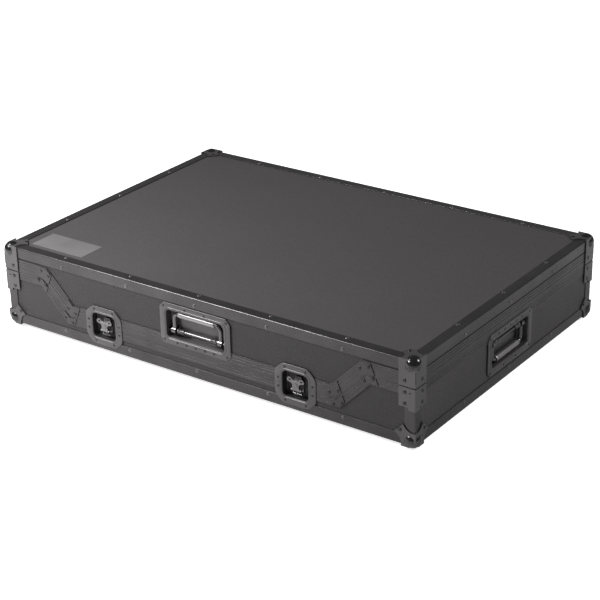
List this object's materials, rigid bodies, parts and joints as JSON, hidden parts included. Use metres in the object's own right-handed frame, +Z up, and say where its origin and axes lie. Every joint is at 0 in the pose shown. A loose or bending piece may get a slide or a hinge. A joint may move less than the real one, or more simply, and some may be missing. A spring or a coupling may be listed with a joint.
{
  "type": "equipment flight case",
  "caption": "Low plywood flight case with metal edge angles, ball corners, a lift-off lid, recessed butterfly latches and recessed sprung handles.",
  "frame": {"origin": "under the middle of the case, on the surface that its rubber feet stand on", "axes": "+X along the width to the case's right end, -Y the front with two latches and a handle, +Z up"},
  "size_m": [0.8908, 0.6208, 0.166],
  "materials": {
    "laminate": "black laminate on plywood, fine raised honeycomb texture",
    "extrusion": "black anodised, satin",
    "corner_metal": "black, semi-gloss",
    "dish_metal": "black zinc, satin",
    "latch_steel": "black zinc, satin",
    "handle_steel": "black zinc, satin",
    "rivet": "black, semi-gloss",
    "grip_rubber": "smooth moulded rubber",
    "foam": "closed-cell foam lining",
    "foot_rubber": "moulded rubber"
  },
  "bodies": {
    "base": {"base_back_panel": "laminate", "base_back_rim": "extrusion", "base_ball_corners": "corner_metal", "base_corner_braces": "corner_metal", "base_floor_panel": "laminate", "base_foam_floor": "foam", "base_foam_rails": "foam", "base_front_panel": "laminate", "base_front_rim": "extrusion", "base_joint_plates": "corner_metal", "base_left_panel": "laminate", "base_left_rim": "extrusion", "base_right_panel": "laminate", "base_right_rim": "extrusion", "base_rivets": "rivet", "bottom_edge_angles": "extrusion", "corner_posts": "extrusion", "latch_base_dishes": "dish_metal", "latch_bearers": "latch_steel", "rubber_feet": "foot_rubber", "side_handle_dishes": "dish_metal", "side_handle_pivots": "handle_steel"},
    "lid": {"front_handle_dish": "dish_metal", "front_handle_pivot": "handle_steel", "latch_keepers": "latch_steel", "latch_lid_dishes": "dish_metal", "lid_back_panel": "laminate", "lid_back_rim": "extrusion", "lid_ball_corners": "corner_metal", "lid_foam": "foam", "lid_front_panel": "laminate", "lid_front_rim": "extrusion", "lid_joint_plates": "corner_metal", "lid_left_panel": "laminate", "lid_left_rim": "extrusion", "lid_right_panel": "laminate", "lid_right_rim": "extrusion", "lid_rivets": "rivet", "lid_top_panel": "laminate", "top_edge_angles": "extrusion"},
    "back_left_cam": {"back_left_latch_cam": "latch_steel"},
    "back_left_hook": {"back_left_latch_hook": "latch_steel"},
    "back_left_wing": {"back_left_latch_wing": "latch_steel"},
    "back_right_cam": {"back_right_latch_cam": "latch_steel"},
    "back_right_hook": {"back_right_latch_hook": "latch_steel"},
    "back_right_wing": {"back_right_latch_wing": "latch_steel"},
    "front_handle": {"front_handle_bail": "handle_steel", "front_handle_grip": "grip_rubber"},
    "front_left_cam": {"front_left_latch_cam": "latch_steel"},
    "front_left_hook": {"front_left_latch_hook": "latch_steel"},
    "front_left_wing": {"front_left_latch_wing": "latch_steel"},
    "front_right_cam": {"front_right_latch_cam": "latch_steel"},
    "front_right_hook": {"front_right_latch_hook": "latch_steel"},
    "front_right_wing": {"front_right_latch_wing": "latch_steel"},
    "left_handle": {"left_handle_bail": "handle_steel", "left_handle_grip": "grip_rubber"},
    "right_handle": {"right_handle_bail": "handle_steel", "right_handle_grip": "grip_rubber"}
  },
  "joints": [
    {"name": "lid_lift", "type": "slide", "parent": "base", "child": "lid", "axis": [0, 0, 1], "range_m": [0, 0.25]},
    {"name": "front_left_latch_turn", "type": "hinge", "parent": "base", "child": "front_left_cam", "pos_m": [-0.2086, -0.305, 0.0536], "axis": [0, -1, 0], "range_deg": [0, 180]},
    {"name": "front_left_wing_fold", "type": "hinge", "parent": "front_left_cam", "child": "front_left_wing", "pos_m": [-0.2086, -0.3031, 0.0451], "axis": [1, 0, 0], "range_deg": [0, 90]},
    {"name": "front_left_hook_rise", "type": "slide", "parent": "base", "child": "front_left_hook", "axis": [0, 0, 1], "range_m": [0, 0.006]},
    {"name": "front_right_latch_turn", "type": "hinge", "parent": "base", "child": "front_right_cam", "pos_m": [0.2086, -0.305, 0.0536], "axis": [0, -1, 0], "range_deg": [0, 180]},
    {"name": "front_right_wing_fold", "type": "hinge", "parent": "front_right_cam", "child": "front_right_wing", "pos_m": [0.2086, -0.3031, 0.0451], "axis": [1, 0, 0], "range_deg": [0, 90]},
    {"name": "front_right_hook_rise", "type": "slide", "parent": "base", "child": "front_right_hook", "axis": [0, 0, 1], "range_m": [0, 0.006]},
    {"name": "back_left_latch_turn", "type": "hinge", "parent": "base", "child": "back_left_cam", "pos_m": [-0.2086, 0.305, 0.1136], "axis": [0, 1, 0], "range_deg": [0, 180]},
    {"name": "back_left_wing_fold", "type": "hinge", "parent": "back_left_cam", "child": "back_left_wing", "pos_m": [-0.2086, 0.3031, 0.1051], "axis": [-1, 0, 0], "range_deg": [0, 90]},
    {"name": "back_left_hook_rise", "type": "slide", "parent": "base", "child": "back_left_hook", "axis": [0, 0, 1], "range_m": [0, 0.006]},
    {"name": "back_right_latch_turn", "type": "hinge", "parent": "base", "child": "back_right_cam", "pos_m": [0.2086, 0.305, 0.1136], "axis": [0, 1, 0], "range_deg": [0, 180]},
    {"name": "back_right_wing_fold", "type": "hinge", "parent": "back_right_cam", "child": "back_right_wing", "pos_m": [0.2086, 0.3031, 0.1051], "axis": [-1, 0, 0], "range_deg": [0, 90]},
    {"name": "back_right_hook_rise", "type": "slide", "parent": "base", "child": "back_right_hook", "axis": [0, 0, 1], "range_m": [0, 0.006]},
    {"name": "front_handle_pull", "type": "hinge", "parent": "lid", "child": "front_handle", "pos_m": [0, -0.298, 0.086], "axis": [1, 0, 0], "range_deg": [0, 90], "stiffness_Nm_per_rad": 0.35, "springref_deg": -20.05},
    {"name": "left_handle_pull", "type": "hinge", "parent": "base", "child": "left_handle", "pos_m": [-0.433, 0, 0.0854], "axis": [0, 1, 0], "range_deg": [0, 90], "stiffness_Nm_per_rad": 0.35, "springref_deg": -20.05},
    {"name": "right_handle_pull", "type": "hinge", "parent": "base", "child": "right_handle", "pos_m": [0.433, 0, 0.0854], "axis": [0, -1, 0], "range_deg": [0, 90], "stiffness_Nm_per_rad": 0.35, "springref_deg": -20.05}
  ],
  "couplings": [
    {"joint": "front_left_latch_turn", "follows": "front_left_hook_rise", "rad_per_m": 523.6},
    {"joint": "front_right_latch_turn", "follows": "front_right_hook_rise", "rad_per_m": 523.6},
    {"joint": "back_left_latch_turn", "follows": "back_left_hook_rise", "rad_per_m": 523.6},
    {"joint": "back_right_latch_turn", "follows": "back_right_hook_rise", "rad_per_m": 523.6}
  ]
}
